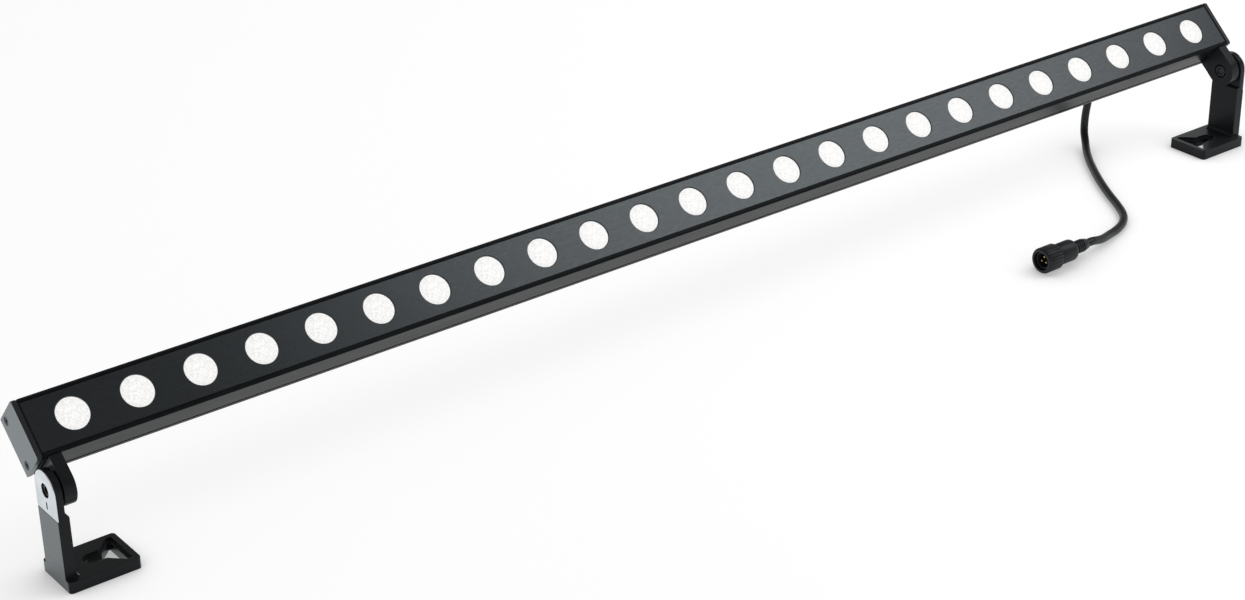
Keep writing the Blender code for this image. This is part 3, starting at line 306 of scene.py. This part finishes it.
connector_body = link("plug_body", body_mesh, "brackets", plastic)
connector_body.matrix_world = along_connector
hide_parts("connector_body")


def ridges(outer, depth, count):
    """A radius that rises and falls around a ring, with flat tops between narrow grooves."""
    return lambda angle: outer - depth * max(0, cos(count * angle)) ** 3


grip = ridges(0.0093, 0.0007, 24)
nut_profile = [(0.0067, 0.0313), (0.0083, 0.0313), (0.0088, 0.0318), (grip, 0.0326),
               (grip, 0.0446), (0.0088, 0.0454), (0.0083, 0.0458), (0.0067, 0.0458)]
nut_mesh = turned("plug_nut", nut_profile, 288)
connector_ring = link("plug_nut", nut_mesh, "brackets", plastic)
connector_ring.matrix_world = along_connector
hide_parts("connector_ring")

seal_radius = 0.0061
seal_height = 0.0420
seal_wire = 0.0006
seal_profile = []
for i in range(12):
    angle = tau * i / 12
    reach = seal_radius + seal_wire * cos(angle)
    seal_profile.append((reach, seal_height + seal_wire * sin(angle)))
connector_seal = link("plug_seal", turned("plug_seal", seal_profile), "brackets", rubber)
connector_seal.matrix_world = along_connector

insert_plastic = grained("connector_insert", (0.030, 0.030, 0.032), (0.042, 0.042, 0.044), 1800.0,
                         (0.4, 0.55), 0.00003)
insert_profile = [(0, 0.0353), (0.0046, 0.0353), (0.0046, 0.0375), (0.0043, 0.0378), (0, 0.0378)]
insert_mesh = turned("plug_insert", insert_profile)
insert = link("plug_insert", insert_mesh, "brackets", insert_plastic)
insert.matrix_world = along_connector
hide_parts("connector_pins")

brass = grained("brass_pin", (0.52, 0.38, 0.14), (0.60, 0.45, 0.19), 1500.0, (0.22, 0.34), 0.00002,
                metallic=1.0)
pin_profile = [(0, 0.0366), (0.0008, 0.0366), (0.0008, 0.0422), (0.0006, 0.0427), (0, 0.0428)]
pin_count = 3
pin_circle_radius = 0.0024
for i in range(pin_count):
    pin_mesh = turned("plug_pin", pin_profile, 24)
    pin = link(f"plug_pin_{i + 1}", pin_mesh, "brackets", brass)
    angle = tau * i / pin_count
    aside = Vector((pin_circle_radius * cos(angle), pin_circle_radius * sin(angle), 0))
    pin.matrix_world = along_connector @ Matrix.Translation(aside)


# Cable gland and strain relief
# A moulded hexagonal body and dome nut, screwed into the back of the bar. A tapered rubber
# sleeve with ribs comes out of the nut and keeps the cable from bending sharply.
# The lamp's own frame stands on the pivot, with Y from the face inwards and Z up the face.
pivot = Vector((0, -0.01629, 0.0604))
tilt = radians(47.5)
lamp_frame = Matrix.Translation(pivot) @ Matrix.Rotation(-tilt, 4, "X")
gland_seat = Vector((0.4101, 0.0162, 0.03405))
gland_place = lamp_frame @ Matrix.Translation(gland_seat) @ Matrix.Rotation(-pi / 2, 4, "X")


def coat(name, material):
    """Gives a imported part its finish."""
    part = bpy.data.objects[name]
    part.data.materials.clear()
    part.data.materials.append(material)
    return part


sleeve_radius = 0.0040
ribs_from = 0.0142
rib_pitch = 0.00215
rib_height = 0.0004
taper_of_rib = 0.00006
sleeve = [(0, 0.0091), (sleeve_radius, 0.0091), (sleeve_radius, ribs_from)]
for i in range(6):
    start = ribs_from + rib_pitch * i
    radius = sleeve_radius - taper_of_rib * i
    sleeve += [(radius, start + 0.0003), (radius, start + 0.0013),
               (radius - rib_height, start + 0.0016), (radius - rib_height, start + 0.0020)]
sleeve += [(0.0034, 0.0274), (0.0032, 0.0278), (0, 0.0278)]
strain_relief = link("relief_sleeve", turned("relief_sleeve", sleeve, 48), "lamp", rubber)
strain_relief.matrix_world = gland_place
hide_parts("strain_relief")
for name in ("gland_body", "gland_dome_nut", "gland_lock_nut"):
    coat(name, plastic)


# Housing
# One extruded aluminium channel, cut to length, with cooling fins on its back and lips round
# its face. It is anodised black, satin on its sides and back and flat on the lips, and keeps
# faint lines along its length from the die.
def soften(name, width, material):
    """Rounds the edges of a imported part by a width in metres, and gives it its finish."""
    part = coat(name, material)
    weld = part.modifiers.new("weld", "WELD")
    weld.merge_threshold = 0.00001
    edges = part.modifiers.new("rounded_edges", "BEVEL")
    edges.width = width
    edges.segments = 2
    edges.limit_method = "ANGLE"
    edges.angle_limit = radians(38)
    edges.use_clamp_overlap = True
    shading = part.modifiers.new("shading", "WEIGHTED_NORMAL")
    shading.keep_sharp = False


anodised = grained("black_anodised_aluminium", (0.0075, 0.0092, 0.0100), (0.0110, 0.0133, 0.0145),
                   1400.0, (0.30, 0.42), 0.00002, stretch=(0.012, 1, 1),
                   worn=(0.010, 0.0115, 0.0125))
tree = anodised.node_tree
shader = tree.nodes["Principled BSDF"]
face_to_pivot = 0.0111
inwards = lamp_frame.to_3x3() @ Vector((0, 1, 0))
face_at = inwards.dot(lamp_frame @ Vector((0, -face_to_pivot, 0)))
place = node(tree, "TexCoord").outputs["Object"]
depth = worked_out(tree, "VectorMath", "DOT_PRODUCT", place, inwards)
lip_gloss, side_gloss, slant_gloss = 0.04, 0.40, 0.08
level = span(tree, depth, lip_gloss, side_gloss, face_at + 0.004, face_at + 0.006)
facing = node(tree, "LayerWeight", Blend=0.5).outputs["Facing"]
level = span(tree, facing, level, slant_gloss, 0.56, 0.70)
tree.links.new(level, shader.inputs["Specular IOR Level"])
soften("housing", 0.00015, anodised)


# Front cover and its seal
# A flat dark plate with a satin front, slid in behind the housing's lips. It has a round window
# with a small chamfer for each lens, and a black rubber seal behind it keeps water out.
pivot_to_bar = 0.0152


def lamp_point(x, depth, height):
    """A point of the lamp: along the bar, behind the face, and up from its lower side."""
    return lamp_frame @ Vector((x, depth - face_to_pivot, pivot_to_bar + height))


def windowed_plate(name, centres, half_length, low, high, front, back, radius, chamfer, row):
    """A plate across the bar with a chamfered round window at each centre.

    It is made of one cell for each window, and a cell is a set of rings round its centre: the
    cell's outline, the chamfer's two edges, the window's back edge and the outline again.
    """
    shape = bmesh.new()
    edges = [-half_length] + [(a + b) / 2 for a, b in zip(centres, centres[1:])] + [half_length]
    for centre, left, right_edge in zip(centres, edges, edges[1:]):
        corners = [Vector((x - centre, z - row)) for x in (left, right_edge) for z in (low, high)]
        angles = [tau * i / 64 for i in range(64)]
        angles += [corner.angle_signed(Vector((1, 0))) % tau for corner in corners]
        rings = []
        chamfered = ((front, radius + chamfer), (front + chamfer, radius))
        for depth, reach in ((front, None), *chamfered, (back, radius)):
            ring = []
            for angle in sorted(angles):
                way = Vector((cos(angle), sin(angle)))
                if reach is None:
                    sides = []
                    if way.x:
                        sides.append(((right_edge if way.x > 0 else left) - centre) / way.x)
                    if way.y:
                        sides.append(((high if way.y > 0 else low) - row) / way.y)
                    out = min(side for side in sides if side > 0)
                else:
                    out = reach
                place = lamp_point(centre + way.x * out, depth, row + way.y * out)
                ring.append(shape.verts.new(place))
            rings.append(ring)
        back_ring = []
        push = lamp_point(0, back, 0) - lamp_point(0, front, 0)
        for vert in rings[0]:
            back_ring.append(shape.verts.new(vert.co + push))
        count = len(angles)
        for near, far in list(zip(rings, rings[1:])) + [(rings[-1], back_ring)]:
            for i in range(count):
                j = (i + 1) % count
                if (near[i].co - near[j].co).length > 1e-6:
                    shape.faces.new((near[i], near[j], far[j], far[i]))
        for i in range(count):
            j = (i + 1) % count
            middle = (rings[0][i].co + rings[0][j].co) / 2
            local = lamp_frame.inverted() @ middle
            height = local.z - pivot_to_bar
            outer = abs(local.x) > half_length - 1e-5
            outer = outer or height < low + 1e-5 or height > high - 1e-5
            if outer and (rings[0][i].co - rings[0][j].co).length > 1e-6:
                shape.faces.new((rings[0][j], rings[0][i], back_ring[i], back_ring[j]))
    bmesh.ops.remove_doubles(shape, verts=shape.verts, dist=1e-6)
    bmesh.ops.recalc_face_normals(shape, faces=shape.faces)
    mesh = bpy.data.meshes.new(name)
    shape.to_mesh(mesh)
    shape.free()
    mesh.shade_smooth()
    mesh.set_sharp_from_angle(angle=0.5)
    return mesh


lens_pitch = 0.041
lens_centres = [(i - 11.5) * lens_pitch for i in range(24)]
lens_row = 0.01935
cover_satin = grained("satin_cover", (0.0090, 0.0100, 0.0115), (0.0120, 0.0132, 0.0150), 900.0,
                      (0.26, 0.34), 0.00001, stretch=(0.2, 1, 1))
cover_mesh = windowed_plate("windowed_cover", lens_centres, half_length=0.4977, low=0.0029,
                            high=0.0348, front=0.0004, back=0.0034, radius=0.0102,
                            chamfer=0.0003, row=lens_row)
cover = link("windowed_cover", cover_mesh, "lamp", cover_satin)
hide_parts("front_cover")
coat("cover_seal", rubber)


# Lenses
# Clear moulded collimators, one over each LED, with a finely pebbled front that spreads the
# light. They seat in the cover's windows. The lamp is on, so each front glows white, brightest
# in the middle.
lens_glow = bpy.data.materials.new("lit_pebbled_lens")
lens_glow.use_nodes = True
tree = lens_glow.node_tree
shader = tree.nodes["Principled BSDF"]
place = node(tree, "TexCoord").outputs["Object"]
pebbles = node(tree, "TexVoronoi", Vector=place, Scale=760.0)
pebbles.feature = "SMOOTH_F1"
cloud = node(tree, "TexNoise", Vector=place, Scale=420.0, Detail=3.0).outputs["Fac"]
clear = blend_of(tree, cloud, (0.05, 0.0515, 0.052), (0.07, 0.071, 0.071))
tree.links.new(clear, shader.inputs["Base Color"])
apart = node(tree, "SeparateXYZ", Vector=place)
flat = node(tree, "CombineXYZ", X=apart.outputs["X"], Y=apart.outputs["Y"])
away = worked_out(tree, "VectorMath", "LENGTH", flat.outputs["Vector"])
middle_glow, rim_glow = 0.98, 0.935
glow = span(tree, away, middle_glow, rim_glow, 0.003, 0.0100)
speckle = span(tree, pebbles.outputs["Distance"], 1.05, 0.85, 0.1, 0.6)
speckled = worked_out(tree, "Math", "MULTIPLY", glow, speckle)
tree.links.new(speckled, shader.inputs["Emission Strength"])
shader.inputs["Emission Color"].default_value = (1.0, 0.995, 0.985, 1)
shader.inputs["Roughness"].default_value = 0.32
shader.inputs["Specular IOR Level"].default_value = 0.15
relief = node(tree, "Bump", Height=pebbles.outputs["Distance"], Distance=0.00012, Strength=0.6)
tree.links.new(relief.outputs["Normal"], shader.inputs["Normal"])

dome_radius = 0.0093
dome_from = 0.00996
dome_height = 0.00034
lens_profile = [(0, 0.0032), (0.0030, 0.0004), (0.0033, 0), (0.0046, 0), (0.0060, 0.0014),
                (0.0079, 0.0036), (0.0094, 0.0066), (0.0100, 0.0086), (0.0100, 0.0097),
                (0.0098, 0.0099), (dome_radius, dome_from)]
for i in range(1, 9):
    share = 1 - i / 8
    lens_profile.append((dome_radius * share, dome_from + dome_height * (1 - share ** 2)))
lens_mesh = turned("lens", lens_profile, 64)
lens_mesh.materials.append(lens_glow)
for number, x in enumerate(lens_centres, start=1):
    lens = link(f"lens_face_{number:02d}", lens_mesh, "lamp")
    seat = Matrix.Translation((x, -0.0004, 0.03455))
    lens.matrix_world = lamp_frame @ seat @ Matrix.Rotation(pi / 2, 4, "X")
    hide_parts(f"lens_{number:02d}")


# Circuit boards
# Two long glass-fibre boards with white solder mask hold twelve LED packages each, and a third
# behind them carries the driver. All three are closed in behind the cover.
mask = grained("white_solder_mask", (0.70, 0.72, 0.71), (0.80, 0.82, 0.81), 700.0, (0.35, 0.5),
               0.00002)
for name in ("led_board_left", "led_board_right", "driver_board"):
    coat(name, mask)


# End caps, gaskets and cap screws
# A cast plate closes each end of the channel over a thin rubber gasket. Two countersunk
# blackened screws with hexagon sockets hold it near its rear corners.
def hexagon(flats):
    """A radius that draws a hexagon of that width across its flats."""
    return lambda angle: flats / 2 / cos((angle + pi / 6) % (pi / 3) - pi / 6)


# The cap's coat is painted a little lighter than the housing's black, standing for the light that
# falls on the lamp's ends: painted light.
cap_coat_painted_lighter = grained("black_cap_coat", (0.026, 0.027, 0.029), (0.036, 0.037, 0.040), 1100.0,
                   (0.30, 0.42), 0.00004, worn=(0.05, 0.052, 0.056), gloss_level=0.2,
                   edge_gloss=2.9)
black_steel = grained("blackened_steel", (0.020, 0.020, 0.021), (0.040, 0.040, 0.042), 1300.0,
                      (0.28, 0.42), 0.00002, metallic=0.9, worn=(0.22, 0.22, 0.22))
socket_mouth = hexagon(0.0022)
socket_wall = hexagon(0.0020)
cap_screw_profile = [(0, -0.012), (0.00095, -0.012), (0.00125, -0.0117), (0.00125, -0.00135),
                     (0.00255, -0.0001), (0.0026, 0), (socket_mouth, 0), (socket_wall, -0.0002),
                     (socket_wall, -0.0011), (0, -0.0013)]
cap_screw_mesh = turned("cap_screw", cap_screw_profile, 48, 0.5)
cap_screw_mesh.materials.append(black_steel)
for side, name in ((-1, "left"), (1, "right")):
    soften(f"end_cap_{name}", 0.0003, cap_coat_painted_lighter)
    soften(f"end_gasket_{name}", 0.0001, rubber)
    for where, height in (("lower", 0.00445), ("upper", 0.03325)):
        screw = link(f"cap_screw_head_{name}_{where}", cap_screw_mesh, "lamp")
        seat = Matrix.Translation((side * 0.50175, 0.00855, pivot_to_bar + height))
        screw.matrix_world = lamp_frame @ seat @ Matrix.Rotation(side * pi / 2, 4, "Y")
        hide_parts(f"cap_screw_{name}_{where}")


# Lugs
# A short cast knuckle under each end of the bar, keyed into its groove and screwed from inside.
# It has the same black powder coat as the brackets.
powder_coat = grained("black_powder_coat", (0.0096, 0.0100, 0.0108), (0.0138, 0.0144, 0.0156),
                      1000.0, (0.28, 0.42), 0.00005, worn=(0.05, 0.05, 0.052), gloss_level=0.17,
                      edge_gloss=1.9)
for name in ("left_lug", "right_lug"):
    soften(name, 0.0004, powder_coat)
for name in ("left_lug_screw", "right_lug_screw"):
    soften(name, 0.0001, black_steel)


# Brackets
# Two die-cast legs, each with a round ear above and a foot below. The foot has a three-cornered
# keyhole for one screw in a shallow pocket, and its edges are rounded by the casting die.
for name in ("left_bracket", "right_bracket"):
    soften(name, 0.0005, powder_coat)


# Scale plates
# Thin stamped stainless plates on the ears' outer faces, with a window for the bolt and an index
# slot. They are brushed upright and left bright.
brushed = grained("brushed_stainless", (0.62, 0.63, 0.64), (0.86, 0.87, 0.88), 2400.0,
                  (0.22, 0.46), 0.00002, stretch=(1, 1, 0.03), metallic=1.0)
for name in ("left_scale_plate", "right_scale_plate"):
    soften(name, 0.00012, brushed)


# Pivot bolts, washers and nuts
# A cap bolt sits in each ear, with its head sunk below the face and a hexagon nut sunk in the
# lug. A rubber friction washer between ear and lug holds the tilt.
for side in ("left", "right"):
    soften(f"{side}_pivot_bolt", 0.0002, black_steel)
    soften(f"{side}_pivot_nut", 0.0002, black_steel)
    soften(f"{side}_friction_washer", 0.0002, rubber)


# Studio
# A pale floor with a painted shadow that darkens it close to what stands on it, a pale room that
# is darker overhead, and one large soft light above the right end that draws the long highlight on
# the cover.
def camera_or_mirror(tree):
    """One for rays from the camera and for those that mirrors and glass send on."""
    path = node(tree, "LightPath")
    total = path.outputs["Is Camera Ray"]
    for other in ("Is Glossy Ray", "Is Transmission Ray"):
        total = worked_out(tree, "Math", "MAXIMUM", total, path.outputs[other])
    return total


floor_mesh = bpy.data.meshes.new("floor")
shape = bmesh.new()
floor_half_width = 8.0
bmesh.ops.create_grid(shape, x_segments=1, y_segments=1, size=floor_half_width)
shape.to_mesh(floor_mesh)
shape.free()
floor = bpy.data.objects.new("floor", floor_mesh)
bpy.context.collection.objects.link(floor)
floor.location = (0, 0, -0.0001)
paper = bpy.data.materials.new("pale_floor")
paper.use_nodes = True
tree = paper.node_tree
tree.nodes.remove(tree.nodes["Principled BSDF"])
seen_paper = node(tree, "BsdfDiffuse", Color=(0.35, 0.35, 0.35, 1))
# The ambient occlusion dims the floor's glow close to the feet, cable and plug: a painted contact
# shadow.
shadow_reach = 0.06
ao_for_painted_shadow = node(tree, "AmbientOcclusion", Distance=shadow_reach).outputs["AO"]
glow = span(tree, ao_for_painted_shadow, 0.42, 0.83, 0.5, 0.97)
seen_light = node(tree, "Emission", Color=(1, 1, 1, 1), Strength=glow)
seen = node(tree, "AddShader")
tree.links.new(seen_paper.outputs["BSDF"], seen.inputs[0])
tree.links.new(seen_light.outputs["Emission"], seen.inputs[1])
lit = node(tree, "BsdfDiffuse", Color=(0.8, 0.8, 0.8, 1))
chosen = node(tree, "MixShader", Fac=camera_or_mirror(tree))
tree.links.new(lit.outputs["BSDF"], chosen.inputs[1])
tree.links.new(seen.outputs["Shader"], chosen.inputs[2])
tree.links.new(chosen.outputs["Shader"], tree.nodes["Material Output"].inputs["Surface"])
floor_mesh.materials.append(paper)

world = bpy.data.worlds.new("studio")
bpy.context.scene.world = world
world.use_nodes = True
tree = world.node_tree
way_out = node(tree, "TexCoord").outputs["Generated"]
height = node(tree, "SeparateXYZ", Vector=way_out).outputs["Z"]
low_light, overhead_light = 1.0, 0.25
room_light = span(tree, height, low_light, overhead_light, 0.05, 0.4)
tree.links.new(room_light, tree.nodes["Background"].inputs["Strength"])
tree.nodes["Background"].inputs["Color"].default_value = (1, 1, 1, 1)

key_data = bpy.data.lights.new("key_light", "AREA")
key_data.shape = "RECTANGLE"
key_data.size = 0.73
key_data.size_y = 0.95
key_data.energy = 8.4
key = bpy.data.objects.new("key_light", key_data)
bpy.context.collection.objects.link(key)
key.location = (1.02, -0.47, 1.26)
key_aim = Vector((0.28, -0.02, 0.08))
key.rotation_euler = (key_aim - key.location).to_track_quat("-Z", "Y").to_euler()

bpy.context.scene.view_settings.view_transform = "Standard"
